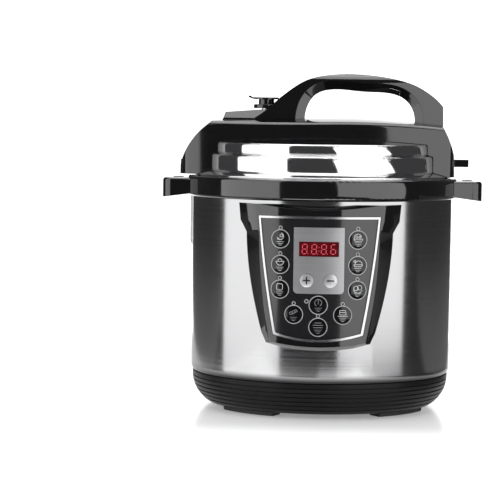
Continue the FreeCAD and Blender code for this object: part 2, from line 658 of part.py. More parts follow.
def sensor():
    """The temperature sensor pressed up against the pot through the heating plate."""
    ring("sensor_cap", [
        (0, d.sensor_foot), (d.sensor_stem, d.sensor_foot),
        (d.sensor_stem, d.sensor_head - d.sensor_cap), (d.sensor_radius, d.sensor_head - d.sensor_cap),
        (d.sensor_radius, d.sensor_head - 1), Bend(1), (d.sensor_radius - 1, d.sensor_head),
        (0, d.sensor_head)])
    ring("sensor_holder", [
        (0, d.holder_foot), (d.holder_radius + 4, d.holder_foot),
        (d.holder_radius + 4, d.holder_foot + d.holder_floor),
        (d.holder_radius, d.holder_foot + d.holder_floor), (d.holder_radius, d.holder_head),
        (d.holder_bore, d.holder_head), (d.holder_bore, d.holder_foot + d.holder_floor),
        (0, d.holder_foot + d.holder_floor)])
    low = d.holder_foot.value + d.holder_floor.value + d.spring_wire.value / 2
    high = d.sensor_foot.value - d.spring_wire.value / 2
    helix = Part.makeHelix(d.spring_pitch.value, high - low, d.spring_radius.value)
    section = []
    for i in range(7):
        turn = math.radians(60 * i)
        section.append(FreeCAD.Vector(
            d.spring_radius.value + d.spring_wire.value / 2 * math.cos(turn), 0,
            d.spring_wire.value / 2 * math.sin(turn)))
    coil = doc.addObject("Part::Feature", "sensor_spring")
    coil.Shape = Part.Wire(helix).makePipeShell([Part.makePolygon(section)], True, True)
    place(coil, "sensor_spring", z=low)


def boards():
    floor = d.base_under + d.base_wall
    low, high = d.board_level, d.board_level + d.board_wall
    body = new_body("power_board")
    plan = block(-d.board_half, d.board_near, d.board_half, d.board_far)
    pad(body, new_sketch(body, "XY_Plane", [plan], lift=low), d.board_wall)
    keep(body, "power_board")
    group("power_board_parts", [
        box("relay", (-38, 62, high), (-18, 78, high + 8.5)),
        box("transformer", (8, 60, high), (34, 84, high + 8)),
        cylinder("capacitor", 5, 7.5, -8, 52, high),
        cylinder("capacitor_small", 3.2, 7, -2, 66, high),
        box("terminal_block", (-32, 44, high), (-16, 52, high + 7)),
    ])
    group("board_posts", [
        cylinder(f"board_post_{i + 1}", d.post_radius, low - floor, x, y, floor)
        for i, (x, y) in enumerate(((-40, 44), (40, 44), (-40, 90), (40, 90)))])
    switch = box("switch_body", (-12, -46, floor), (12, -34, 18))
    plunger = cylinder("switch_plunger", 1.8, 3.4, 0, -40, 18)
    fuse = doc.addObject("Part::Fuse", "pressure_switch")
    fuse.Base, fuse.Tool = switch, plunger
    keep(fuse, "pressure_switch")
    keep(cylinder("thermal_fuse", d.fuse_radius, d.fuse_length, -50, -d.fuse_length / 2,
                  d.fuse_level, FreeCAD.Vector(0, 1, 0)), "thermal_fuse")
    control = new_body("control_board")
    pad(control, new_sketch(control, "XZ_Plane", [
        block(-d.control_half, d.control_foot, d.control_half, d.control_head)],
        lift=d.control_front - d.board_wall), d.board_wall)
    keep(control, "control_board")


def inlet():
    body = new_body("mains_inlet")
    outline = [block(-d.inlet_half, d.inlet_foot, d.inlet_half, d.inlet_head)]
    pad(body, new_sketch(body, "XZ_Plane", outline, lift=-d.inlet_face),
        d.inlet_face - d.inlet_back)
    socket = [[(-d.socket_half, d.socket_foot), (d.socket_half, d.socket_foot),
               (d.socket_half, d.socket_head - 4), (d.socket_half - 4, d.socket_head),
               (-d.socket_half + 4, d.socket_head), (-d.socket_half, d.socket_head - 4)]]
    pad(body, new_sketch(body, "XZ_Plane", socket, lift=-d.inlet_face - 1),
        d.inlet_face + 1 - d.socket_floor, cut=True)
    keep(body, "mains_inlet")
    middle = (d.socket_foot + d.socket_head) / 2
    group("inlet_pins", [
        box(f"inlet_pin_{i + 1}", (x - d.pin_half / 2, d.socket_floor, middle + up - d.pin_half),
            (x + d.pin_half / 2, d.socket_floor + d.pin_deep, middle + up + d.pin_half))
        for i, (x, up) in enumerate(((-d.pin_pitch, -1), (sized(0), 3), (d.pin_pitch, -1)))])


# ---------------------------------------------------------------- condensate cup

def condensate_cup():
    """A pull-down cup on a rail, drawn at the front and turned round to the back left."""
    body = new_body("condensate_cup")
    corner = d.cup_corner

    def plan(inset):
        bend = corner - inset
        half, front, back = d.cup_half - inset, d.cup_front - inset, d.cup_back + inset
        return [(-half, -back), (-half, -front + bend), Bend(bend), (-half + bend, -front),
                (half - bend, -front), Bend(bend), (half, -front + bend), (half, -back)]

    pad(body, new_sketch(body, "XY_Plane", [plan(sized(0))], lift=d.cup_foot),
        d.cup_head - d.cup_foot)
    soften(body, 7.0, lambda e: e.BoundBox.ZMax < d.cup_foot.value + 0.01
           and e.BoundBox.YMin < -d.cup_back.value - 0.5)
    pad(body, new_sketch(body, "XY_Plane", [plan(d.cup_wall)], lift=d.cup_foot + 7.0),
        FAR, cut=True)
    place(body, "condensate_cup", turn=d.cup_turn)
    hook = new_body("cup_hanger")
    top = [(-d.cup_half, -d.cup_back + 1.4), (-d.cup_half, -d.cup_front + corner), Bend(corner),
           (-d.cup_half + corner, -d.cup_front), (d.cup_half - corner, -d.cup_front),
           Bend(corner), (d.cup_half, -d.cup_front + corner), (d.cup_half, -d.cup_back + 1.4)]
    pad(hook, new_sketch(hook, "XY_Plane", [top], lift=d.cup_head + 0.4),
        d.cap_head - d.cup_head - 0.4)
    rails = [block(-d.cup_half - 2.2, d.rail_foot, -d.cup_half - 0.4, d.cap_head),
             block(d.cup_half + 0.4, d.rail_foot, d.cup_half + 2.2, d.cap_head)]
    pad(hook, new_sketch(hook, "XZ_Plane", rails, lift=d.rail_front - 8), 16)
    bridge = new_sketch(hook, "XZ_Plane", [
        block(-d.cup_half - 2.2, d.cup_head + 0.4, d.cup_half + 2.2, d.cap_head)],
        lift=d.rail_front - 8)
    pad(hook, bridge, 16)
    drip = new_sketch(hook, "XY_Plane", circles=[(0, -(d.cup_back + 9), 3)], lift=d.cup_head)
    pad(hook, drip, FAR, cut=True)
    revolve(hook, new_sketch(hook, "XZ_Plane", [
        block(0, d.rail_foot - 5, d.shell_radius + 0.05, d.cap_head + 5)]), cut=True)
    place(hook, "cup_hanger", turn=d.cup_turn)


# ---------------------------------------------------------------- control panel

def bezel_outline(side, top, toe):
    """The bezel's outline, drawn in by side at the flanks and by top and toe at the ends."""
    toe_x, heel_x = d.bezel_toe_half - side * 0.8, d.bezel_heel_half - side
    neck_x, ear_x, top_x = (x - side for x in (d.bezel_neck_half, d.bezel_ear_half,
                                               d.bezel_top_half))
    toe_z, heel_z, top_z = d.bezel_toe + toe, d.bezel_heel + toe * 0.7, d.bezel_top - top
    return [(toe_x, toe_z), (heel_x, heel_z), Bend(d.bezel_side_bend), (neck_x, d.bezel_neck),
            (ear_x, d.bezel_ear), (top_x, top_z), (-top_x, top_z), (-ear_x, d.bezel_ear),
            (-neck_x, d.bezel_neck), Bend(d.bezel_side_bend), (-heel_x, heel_z),
            (-toe_x, toe_z), Bend(d.bezel_toe_bend)]


def face_outline(inset):
    """The outline of the panel's face, smaller by inset all round."""
    return [(-d.face_low_half + inset, d.face_low + inset * 0.8), Bend(d.face_low_bend - inset),
            (d.face_low_half - inset, d.face_low + inset * 0.8), Bend(d.face_side_bend),
            (d.face_top_half - inset, d.face_top - inset),
            (-d.face_top_half + inset, d.face_top - inset), Bend(d.face_side_bend)]


def curved_plate(label, loops, back, front, holes=()):
    """A plate rolled about the cooker's axis: its outline is cut from a shell, back to front."""
    body = new_body(label)
    pad(body, new_sketch(body, "XZ_Plane", loops), FAR)
    revolve(body, new_sketch(body, "XZ_Plane", [block(front, 0, 3 * FAR, FAR)]), cut=True)
    revolve(body, new_sketch(body, "XZ_Plane", [block(0, 0, back, FAR)]), cut=True)
    for turn, circles in holes:
        pad(body, new_sketch(body, "XZ_Plane", circles=circles, tilt=turn), FAR, cut=True)
    return body


def keys():
    """Each round key: its label, its turn about the cooker's axis, its height and its size."""
    rows = (d.row_one, d.row_two, d.row_three)
    big = [(f"key_{side}_{i + 1}", turn, row) for side, turn in
           (("left", -d.outer_turn), ("right", d.outer_turn)) for i, row in enumerate(rows)]
    big += [("key_lower_left", -d.lower_turn, d.row_lower),
            ("key_lower_right", d.lower_turn, d.row_lower),
            ("key_stop", sized(0), d.row_stop), ("key_timer", sized(0), d.row_last)]
    small = [("key_plus", -d.small_turn, d.row_small), ("key_minus", d.small_turn, d.row_small)]
    return big, small


def lamp_spots():
    """The indicator lamps: above each key, but beside the stop key."""
    big, _ = keys()
    spots = [(turn, row + d.lamp_rise) for label, turn, row in big if label != "key_stop"]
    return spots + [(-d.small_turn, d.row_stop + 3.6)]


def control_panel():
    big, small = keys()
    none = sized(0)
    body = new_body("bezel_block")
    flank, front = d.bezel_side_draft, d.bezel_side_draft + d.bezel_front_draft
    sections = [new_sketch(body, "XZ_Plane", [outline], lift=lift) for outline, lift in (
        (bezel_outline(none, none, none), d.bezel_start),
        (bezel_outline(flank, none, none), d.bezel_middle),
        (bezel_outline(front, d.bezel_top_bevel, d.bezel_toe_bevel), d.bezel_front + 0.5))]
    loft = body.newObject("PartDesign::AdditiveLoft", "bezel_loft")
    loft.Profile = sections[0]
    loft.Sections = sections[1:]
    loft.Ruled = True
    for low, high in ((0, d.bezel_back), (d.bezel_front, 3 * FAR)):
        revolve(body, new_sketch(body, "XZ_Plane", [block(low, 0, high, FAR)]), cut=True)
    seat = curved_plate("bezel_seat", [face_outline(none)], d.seat_radius, 2 * d.bezel_front)
    hole = new_body("bezel_hole")
    pad(hole, new_sketch(hole, "XZ_Plane", [face_outline(d.seat_ledge)]), FAR)
    keep(cut_from(cut_from(body, seat, "bezel_with_seat"), hole, "panel_bezel"), "panel_bezel")
    gap = d.panel_gap
    keep(curved_plate("panel_trim", [face_outline(gap), face_outline(d.trim_wall)],
                      d.trim_back, d.trim_front), "panel_trim")
    window = block(-d.lens_half - gap, d.lens_foot - gap, d.lens_half + gap, d.lens_head + gap)
    big_holes = [(turn, [(0, row, d.key_radius + d.key_gap)]) for _, turn, row in big]
    small_holes = [(turn, [(0, row, d.small_key_radius + d.key_gap)]) for _, turn, row in small]
    lamp_holes = [(turn, [(0, row, d.lamp_radius + 0.05)]) for turn, row in lamp_spots()]
    keep(curved_plate("panel_overlay", [face_outline(d.trim_wall + gap), window],
                      d.seat_radius + 0.05, d.overlay_front,
                      big_holes + small_holes + lamp_holes), "panel_overlay")
    corner = d.plaque_corner
    plaque = [(-d.plaque_half, d.plaque_foot + corner), Bend(corner),
              (-d.plaque_half + corner, d.plaque_foot), (d.plaque_half - corner, d.plaque_foot),
              Bend(corner), (d.plaque_half, d.plaque_foot + corner),
              (d.plaque_half, d.plaque_head), (-d.plaque_half, d.plaque_head)]
    keep(curved_plate("display_plaque", [plaque, window], d.overlay_front + 0.05,
                      d.plaque_front, small_holes), "display_plaque")
    keep(curved_plate("display_lens", [block(-d.lens_half, d.lens_foot, d.lens_half, d.lens_head)],
                      d.seat_radius + 0.4, d.lens_front), "display_lens")
    keep(curved_plate("key_film", [face_outline(d.seat_ledge + 1), window], d.film_back,
                      d.film_front), "key_film")
    module = new_body("display_module")
    pad(module, new_sketch(module, "XZ_Plane", [
        block(-d.module_half, d.lens_foot + 0.6, d.module_half, d.lens_head - 0.6)],
        lift=d.control_front), d.module_deep)
    keep(module, "display_module")


def round_key(label, turn, row, radius, edge, crown):
    body = new_body(label)
    rise = crown - edge
    bend = (radius * radius + rise * rise) / (rise * 2)
    revolve(body, new_sketch(body, "XY_Plane", [[
        (0, -d.key_back), (0, -crown), Bend(bend), (radius, -edge), (radius, -d.key_back)]]))
    place(body, label, z=row, turn=turn)


def key_pieces():
    big, small = keys()
    for label, turn, row in big:
        round_key(label, turn, row, d.key_radius, d.key_edge, d.key_crown)
    for label, turn, row in small:
        round_key(label, turn, row, d.small_key_radius, d.small_key_edge, d.small_key_crown)
    domes, lamps = [], []
    for i, (_, turn, row) in enumerate(big + small):
        domes.append(radial_button(f"key_dome_{i + 1}", turn, row, d.dome_radius,
                                   d.film_front + 0.02, d.dome_front))
    for i, (turn, row) in enumerate(lamp_spots()):
        lamps.append(radial_button(f"lamp_{i + 1}", turn, row, d.lamp_radius, d.lamp_back,
                                   d.lamp_front))
    group("key_domes", domes)
    group("indicator_lamps", lamps)


def radial_button(name, turn, row, radius, back, front):
    """A short round peg that points out of the panel at a turn about the cooker's axis."""
    way = math.radians(turn.value)
    out = FreeCAD.Vector(math.sin(way), -math.cos(way), 0)
    return cylinder(name, radius, front - back, back * out.x, back * out.y, row, out)


# ---------------------------------------------------------------- lid

def lid_skin(gap):
    """The lid pan's outer skin from the root of its flange to its top, moved out by gap."""
    soft, step, crest = d.lid_soft, d.step_radius + gap, d.crest_radius + gap
    return [(step + 1.5, d.flange_root + gap), Bend(1.5, left=False),
            (step, d.flange_root + gap + 1.5), (step, d.step_head - soft + gap), Bend(soft),
            (step - soft, d.step_head + gap), (crest, d.crest_foot + gap),
            (crest, d.crest_head - soft + gap), Bend(soft), (crest - soft, d.crest_head + gap),
            Bend(d.dome_bend), (0, d.lid_head + gap)]


def lid_pan():
    wall, none = d.lid_wall, sized(0)
    edge = d.flange_radius - wall
    step, crest = d.step_radius - wall, d.crest_radius - wall
    body = ring("lid_pan", [
        (step, d.skirt_foot), (d.step_radius, d.skirt_foot), (d.step_radius, d.flange_root - wall),
        (edge, d.flange_edge - wall), (edge, d.flange_foot), (d.flange_radius, d.flange_foot),
        (d.flange_radius, d.flange_edge), *lid_skin(none), (0, d.lid_head - wall),
        Bend(d.dome_bend, left=False), (crest - 1, d.crest_head - wall),
        (crest, d.crest_head - wall - 1), (crest, d.crest_foot - wall + 0.8),
        (crest + 1.8, d.crest_foot - wall), (step - 1, d.step_head - wall),
        (step, d.step_head - wall - 1)])
    lug = revolve(body, new_sketch(body, "XZ_Plane", [
        block(d.step_radius - wall / 2, d.skirt_foot, d.lug_radius, d.lug_head)]),
        angle=d.lug_sweep, middle=True)
    around(body, lug, d.claw_count)
    holes = new_sketch(body, "XY_Plane", circles=[
        (-d.valve_place, 0, d.pipe_radius + 0.1), (-d.float_across, d.float_back, d.float_hole)],
        lift=d.step_head)
    pad(body, holes, FAR, cut=True)


def cover_profile(inset):
    """The side view of the cover, as (x, height above the crown's axis)."""
    level = d.crown_level
    left, right = d.cover_left - inset, d.cover_right - inset
    low = d.cover_foot - 30 - level
    return [(-left, low), (right, low), (right, d.tab_right_foot + 2 - level), Bend(d.right_end_bend),
            (d.shoulder_right - inset * 0.7, d.shoulder_right_level - inset - level),
            Bend(d.top_bend), (0, d.mid_level - inset - level),
            (-d.shoulder_left + inset * 0.7, d.shoulder_left_level - inset - level),
            Bend(d.left_end_bend), (-left, d.cover_foot + 6 - level)]


def cover_corner(reach, corner, inset):
    """Where a rounded corner of the cover's plan leaves the bowed front and meets the end."""
    axis = d.cover_bow - d.cover_half
    bow, end, bend = d.cover_bow - inset, reach - inset, corner - inset
    inner = end - bend
    y = (axis * axis - (bow - bend) * (bow - bend) + inner * inner) / (axis * 2)
    x = (inner * inner - y * y).root()
    stretch = bow / (bow - bend)
    on_bow = (x * stretch, axis + (y - axis) * stretch)
    on_end = (x * end / inner, y * end / inner)
    return on_bow, on_end


def cover_plan(inset):
    """The cover from above: bowed front and back, rounded corners, ends round the lid."""
    bow = Bend(d.cover_bow - inset)
    (rx, ry), (rex, rey) = cover_corner(d.cover_right, d.right_corner, inset)
    (lx, ly), (lex, ley) = cover_corner(d.cover_left, d.left_corner, inset)
    right, left = Bend(d.right_corner - inset), Bend(d.left_corner - inset)
    return [(-lx, ly), bow, (rx, ry), right, (rex, rey), Bend(d.cover_right - inset),
            (rex, -rey), right, (rx, -ry), bow, (-lx, -ly), left, (-lex, -ley),
            Bend(d.cover_left - inset), (-lex, ley), left]


def cover_block(name, inset):
    """The solid that the cover is cut from: a crowned bridge with rounded ends."""
    body = new_body(name)
    side = new_sketch(body, "XZ_Plane", [cover_profile(inset)], rise=d.crown_level)
    revolve(body, side, angle=60, axis="H_Axis", middle=True)
    far = sized(FAR)
    plan = cover_plan(inset)
    outside = new_sketch(body, "XY_Plane", [block(-far, -far, far, far), plan])
    pad(body, outside, 3 * FAR, cut=True, middle=True)
    return body


def lid_cover():
    inset = d.cover_skin
    body = cover_block("cover_bridge", sized(0))
    axis = (d.cover_bow - d.cover_half).value

    def on_front(edge):
        middle = edge.valueAt((edge.FirstParameter + edge.LastParameter) / 2)
        reach = math.hypot(middle.x, abs(middle.y) + axis)
        return (abs(reach - d.cover_bow.value) < 0.2 and edge.BoundBox.XLength > 20
                and middle.z > d.cover_foot.value)

    soften(body, d.cover_soft, on_front)
    mound = [(-d.mound_left, d.mound_foot), (-d.mound_right, d.mound_foot),
             (-d.mound_right, d.mound_head), (-d.mound_right - 12, d.mound_head),
             (-d.mound_left + 6, d.mound_step)]
    pad(body, new_sketch(body, "XZ_Plane", [mound]), 2 * d.mound_half, middle=True)
    slopes = [[(side * d.mound_half, d.mound_brink), (side * d.mound_half, d.mound_head + 5),
               (side * (d.mound_half - d.mound_bevel), d.mound_head + 5),
               (side * (d.mound_half - d.mound_bevel), d.mound_head)] for side in (1, -1)]
    pad(body, new_sketch(body, "YZ_Plane", slopes), FAR, cut=True, middle=True)
    tabs = [block(d.tab_right - 25, d.tab_right_foot, d.tab_right, d.tab_right_foot + d.tab_deep),
            block(-d.tab_left, d.tab_left_foot, -d.tab_left + 20, d.tab_left_foot + d.tab_deep)]
    pad(body, new_sketch(body, "XZ_Plane", tabs), 2 * d.tab_half, middle=True)
    gap = d.lid_clear
    past = d.tab_right + 10
    seat = [(0, 0), (past, 0), (past, d.cover_foot),
            (d.flange_radius + gap + 0.5, d.cover_foot),
            (d.flange_radius + gap, d.flange_edge + gap), *lid_skin(gap)]
    revolve(body, new_sketch(body, "XZ_Plane", [seat]), cut=True)
    holes = new_sketch(body, "XY_Plane", circles=[(-d.valve_place, 0, d.pipe_hole)],
                       lift=d.step_head)
    pad(body, holes, FAR, cut=True)
    well = new_sketch(body, "XY_Plane", circles=[(-d.float_across, d.float_back, d.float_well)],
                      lift=d.step_head)
    pad(body, well, FAR, cut=True)
    core = cover_block("cover_core", inset)
    keep(cut_from(body, core, "lid_cover"), "lid_cover")


def handle_curves():
    """The arch of the lid's handle in side view: (x, z) points of its outer and inner edges."""
    outer = [(-77, 283.0), (-66, 289.5), (-55.5, 297.0), (-43.5, 308.0), (-33.0, 316.3),
             (-18, 325.7), (0, 330.8), (23, 332.8), (47, 331.8), (72, 328.0), (86, 324.3),
             (95, 320.5), (104, 315.2), (112, 309.2), (119.7, 301.0)]
    inner = [(-18.2, 283.0), (-17.4, 295.0), (-13.0, 306.0), (-7.0, 312.5), (0, 315.8),
             (7.0, 317.0), (17.5, 317.3), (30, 316.2), (47, 315.1), (65, 314.2), (76, 311.2),
             (85, 304.6), (90.2, 295.0), (91.2, 283.0)]
    return outer, inner


def handle_width(top):
    """The handle across its middle, as (half width, height) points from its top down."""
    return [(0, top), (8.0, top - 0.9), (13.5, top - 4.2), (16.2, top - 9.5), (17.6, top - 16),
            (19.6, top - 24), (22.0, top - 34), (24.0, top - 43), (25.4, top - 52),
            (d.handle_half.value, d.handle_foot.value)]


def spline(points, y=0.0):
    curve = Part.BSplineCurve()
    curve.interpolate([FreeCAD.Vector(x, y, z) for x, z in points])
    return curve.toShape()


def polygon(points, y=0.0):
    return [Part.makeLine(FreeCAD.Vector(a[0], y, a[1]), FreeCAD.Vector(b[0], y, b[1]))
            for a, b in zip(points, points[1:])]


def slab(edges, half):
    """A flat outline in the XZ plane as a slab, half its thickness each side of Y = 0."""
    face = Part.Face(Part.Wire(Part.__sortEdges__(edges)))
    solid = face.extrude(FreeCAD.Vector(0, 2 * half, 0))
    solid.translate(FreeCAD.Vector(0, -half, 0))
    return solid


def bowed_side(side, top):
    """All that lies behind the handle's bowed front (side -1) or before its back (side 1)."""
    bow = -side * d.handle_bow.value
    skin = [FreeCAD.Vector(0, side * half, z) for half, z in handle_width(top)]
    curve = Part.BSplineCurve()
    curve.interpolate(skin)
    foot = FreeCAD.Vector(0, bow, skin[-1].z)
    head = FreeCAD.Vector(0, bow, top)
    section = Part.Face(Part.Wire([curve.toShape(), Part.makeLine(skin[-1], foot),
                                   Part.makeLine(foot, head), Part.makeLine(head, skin[0])]))
    axis = FreeCAD.Vector(0, 0, 1)
    section.rotate(foot, axis, -18)
    return section.revolve(foot, axis, 36)


def lid_handle(bridge):
    """The arch over the lid, forked at its left foot to let the valve stand between."""
    outer, inner = handle_curves()
    foot = d.handle_foot.value
    edges = [spline(outer), spline(inner)]
    edges += polygon([outer[-1], (outer[-1][0] + 0.4, foot), (inner[-1][0], foot), inner[-1]])
    edges += polygon([inner[0], (inner[0][0], foot), (outer[0][0] - 14, foot), outer[0]])
    arch = slab(edges, d.handle_half.value + 4)
    top = max(z for _, z in outer) + 0.6
    shape = arch.common(bowed_side(-1, top)).common(bowed_side(1, top))
    across, along = d.brink_across.value, d.brink_along.value
    brink = [edge for edge in shape.Edges if on_opening(edge, inner)]
    shape = shape.makeChamfer(along, across, brink)
    fork = Part.makeBox(60, 2 * d.fork_half.value, d.fork_head.value - foot,
                        FreeCAD.Vector(-d.fork_right.value - 60, -d.fork_half.value, foot))
    well = Part.makeCylinder(d.float_well.value, FAR,
                             FreeCAD.Vector(-d.float_across.value, d.float_back.value, 0))
    return shape.cut([fork, well, bridge.Shape]).removeSplitter()


def on_opening(edge, inner):
    """Whether an edge of the handle runs round its opening."""
    middle = edge.valueAt((edge.FirstParameter + edge.LastParameter) / 2)
    inside = inner[0][0] - 0.5 < middle.x < inner[-1][0] + 0.5 and middle.z < 318
    return inside and abs(middle.y) > 4 and edge.Length > 20


def insert_room(gap):
    """The room under the grip for the insert, open downwards into the finger gap."""
    _, inner = handle_curves()
    deep = d.insert_deep.value + gap
    high = [(x, z + deep) for x, z in inner if d.insert_left.value < x < d.insert_right.value]
    low = d.insert_foot.value
    left, right = (high[0][0] - gap, low), (high[-1][0] + gap, low)
    high = [(left[0], high[0][1]), *high[1:-1], (right[0], high[-1][1])]
    edges = [spline(high), *polygon([high[-1], right, left, high[0]])]
    return slab(edges, d.insert_half.value + gap)


def handle_pieces(bridge):
    arch = lid_handle(bridge)
    handle = doc.addObject("Part::Feature", "lid_handle")
    handle.Shape = arch.cut(insert_room(d.handle_gap.value))
    keep(handle, "lid_handle")
    insert = doc.addObject("Part::Feature", "grip_insert")
    insert.Shape = arch.common(insert_room(0.0))
    keep(insert, "grip_insert")


def valves():
    place_x = -d.valve_place
    knob = new_body("pressure_valve")
    revolve(knob, new_sketch(knob, "XZ_Plane", [[
        (d.valve_bore, d.valve_foot), (d.valve_skirt, d.valve_foot),
        (d.valve_skirt, d.valve_skirt_head - 0.8), Bend(0.8), (d.valve_skirt - 0.8, d.valve_skirt_head),
        (d.valve_stem, d.valve_skirt_head), (d.valve_stem, d.valve_cap_foot),
        (d.valve_cap, d.valve_cap_foot), (d.valve_cap, d.valve_head - 0.6), Bend(0.6),
        (d.valve_cap - 0.6, d.valve_head), (0, d.valve_head), (0, d.valve_bore_head),
        (d.valve_bore, d.valve_bore_head)]]))
    start = -d.valve_cap + 3
    low, thick = d.valve_head - d.valve_lever_wall, d.valve_lever_wall
    lever = [(start, low), (start, d.valve_head), (-d.valve_cap - 1, d.valve_head),
             (-d.valve_lever + 1.5, d.valve_head + d.valve_lever_rise),
             (-d.valve_lever, d.valve_head + d.valve_lever_rise),
             (-d.valve_lever, low + d.valve_lever_rise),
             (-d.valve_cap - 1, low)]
    pad(knob, new_sketch(knob, "XZ_Plane", [lever]), 2 * d.valve_lever_half, middle=True)
    place(knob, "pressure_valve", x=place_x)
    pipe = new_body("valve_pipe")
    revolve(pipe, new_sketch(pipe, "XZ_Plane", [
        block(d.pipe_bore, d.pipe_foot, d.pipe_radius, d.pipe_head)]))
    place(pipe, "valve_pipe", x=place_x)
    nut = new_body("pipe_nut")
    under = d.lid_head - 2.1 - d.lid_wall
    flats = [(d.nut_across * math.cos(math.radians(a)), d.nut_across * math.sin(math.radians(a)))
             for a in range(0, 360, 60)]
    pad(nut, new_sketch(nut, "XY_Plane", [flats], [(0, 0, d.pipe_radius + 0.03)],
                        lift=under - d.nut_deep), d.nut_deep)
    place(nut, "pipe_nut", x=place_x)
    shield = new_body("steam_shield")
    wall = d.shield_wall
    revolve(shield, new_sketch(shield, "XZ_Plane", [[
        (0, d.shield_foot), (d.shield_radius, d.shield_foot), (d.shield_radius, under - 0.6),
        (d.shield_radius - wall, under - 0.6), (d.shield_radius - wall, d.shield_foot + wall),
        (0, d.shield_foot + wall)]]))
    slot = new_sketch(shield, "XZ_Plane", [block(-1.2, d.shield_foot + 4, 1.2, under - 4)])
    around(shield, pad(shield, slot, FAR / 4, cut=True), sized(12))
    place(shield, "steam_shield", x=place_x)
    pin_body = new_body("float_valve")
    revolve(pin_body, new_sketch(pin_body, "XZ_Plane", [[
        (0, d.float_foot), (d.float_radius + 1.6, d.float_foot),
        (d.float_radius + 1.6, d.float_foot + 1.6), (d.float_radius, d.float_foot + 1.6),
        (d.float_radius, d.float_rest), (d.float_cap, d.float_rest),
        (d.float_cap, d.float_head - 0.6), (d.float_cap - 0.6, d.float_head), (0, d.float_head)]]))
    place(pin_body, "float_valve", x=-d.float_across, y=d.float_back)
    washer = new_body("float_seal")
    revolve(washer, new_sketch(washer, "XZ_Plane", [
        block(d.float_radius + 0.03, d.float_foot + 1.7, d.float_washer, d.float_foot + 4)]))
    place(washer, "float_seal", x=-d.float_across, y=d.float_back)


def lid_inside():
    lip = d.seal_lip
    ring("sealing_ring", [
        (d.seal_bore, d.seal_foot), (d.seal_radius - 1, d.seal_foot),
        (d.seal_radius, d.seal_foot + 1), (d.seal_radius, d.seal_head - 1),
        (d.seal_radius - 1, d.seal_head), (d.seal_bore + 1, d.seal_head),
        (d.seal_bore, d.seal_head - 1), (d.seal_bore, d.seal_head - lip),
        (d.seal_bore + 3.5, d.seal_head - lip), (d.seal_bore + 3.5, d.seal_foot + lip),
        (d.seal_bore, d.seal_foot + lip)])
    top = d.lid_head - d.lid_wall
    ring("inner_lid_plate", [
        (0, d.inner_foot), (d.inner_radius - 10, d.inner_foot), (d.inner_radius - 7, d.inner_foot + 3),
        (d.inner_radius, d.inner_foot + 3), (d.inner_radius, d.inner_foot + 3 + d.inner_wall),
        (d.inner_radius - 7.5, d.inner_foot + 3 + d.inner_wall),
        (d.inner_radius - 10.5, d.inner_foot + d.inner_wall), (d.stud_radius, d.inner_foot + d.inner_wall),
        (d.stud_radius, top - 0.1), (0, top - 0.1)])


# ---------------------------------------------------------------- build, check and write

def build():
    write_sheet()
    base_cover()
    feet()
    steel_housing()
    collar()
    side_handle("side_handle_right", sized(0))
    side_handle("side_handle_left", sized(180))
    fasteners()
    liner()
    inner_pot()
    heater()
    sensor()
    boards()
    inlet()
    condensate_cup()
    control_panel()
    key_pieces()
    lid_pan()
    lid_cover()
    lid_inside()
    valves()
    doc.recompute()
    handle_pieces(doc.getObject("cover_bridge"))
    doc.recompute()


def check_and_write():
    for thing in doc.Objects:
        bad = {"Invalid", "Error"} & set(thing.State)
        if bad:
            raise SystemExit(f"{thing.Name} ({thing.Label}) failed: {thing.State}")
    os.makedirs("parts", exist_ok=True)
    for label, thing in sorted(parts.items()):
        shape = thing.Shape
        if shape.isNull() or not shape.isValid() or not shape.Solids:
            raise SystemExit(f"{label} has no valid shape")
        shape.exportStep(os.path.join("parts", label + ".step"))
        print(f"{label}: {len(shape.Solids)} solid(s), {shape.Volume / 1000:.2f} cm3")
    print(len(parts), "nodes")


build()
check_and_write()
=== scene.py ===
import json
import math
import bpy
from mathutils import Matrix, Vector


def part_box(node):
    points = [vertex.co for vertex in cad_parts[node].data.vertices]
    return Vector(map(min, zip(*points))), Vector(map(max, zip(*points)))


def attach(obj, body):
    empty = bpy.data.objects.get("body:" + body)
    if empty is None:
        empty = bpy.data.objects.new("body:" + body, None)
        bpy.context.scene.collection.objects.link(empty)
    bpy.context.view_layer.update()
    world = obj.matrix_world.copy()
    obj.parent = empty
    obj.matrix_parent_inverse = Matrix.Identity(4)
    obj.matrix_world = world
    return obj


# Looks for the electric pressure cooker: materials, printed marks, display digits and the studio.
# -Y is the front, +Z is up, and the cooker's axis is the Z axis. The marks are laid out in
# millimetres, and materials, lights and the stage are in metres.

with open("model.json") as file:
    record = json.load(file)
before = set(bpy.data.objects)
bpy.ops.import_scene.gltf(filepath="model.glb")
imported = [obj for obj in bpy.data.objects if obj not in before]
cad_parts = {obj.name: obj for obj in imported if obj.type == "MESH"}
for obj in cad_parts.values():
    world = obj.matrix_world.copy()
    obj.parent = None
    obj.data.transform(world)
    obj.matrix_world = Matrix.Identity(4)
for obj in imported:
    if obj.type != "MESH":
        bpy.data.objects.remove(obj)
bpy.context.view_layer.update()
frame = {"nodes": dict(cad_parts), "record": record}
nodes = frame["nodes"]

MM = 0.001
FRONT_KEYS = ("key_left_1", "key_left_2", "key_left_3", "key_right_1", "key_right_2",
              "key_right_3", "key_lower_left", "key_lower_right", "key_stop", "key_timer")
SMALL_KEYS = ("key_plus", "key_minus")
DIM_KEYS = ("key_lower_left", "key_stop", "key_timer")

# Faces of the control panel, in millimetres from the cooker's axis.
OVERLAY_FACE = 137.0
WINDOW_FACE = 137.6
KEY_EDGE, KEY_CROWN = 137.3, 138.0
SMALL_KEY_EDGE, SMALL_KEY_CROWN = 138.2, 139.0

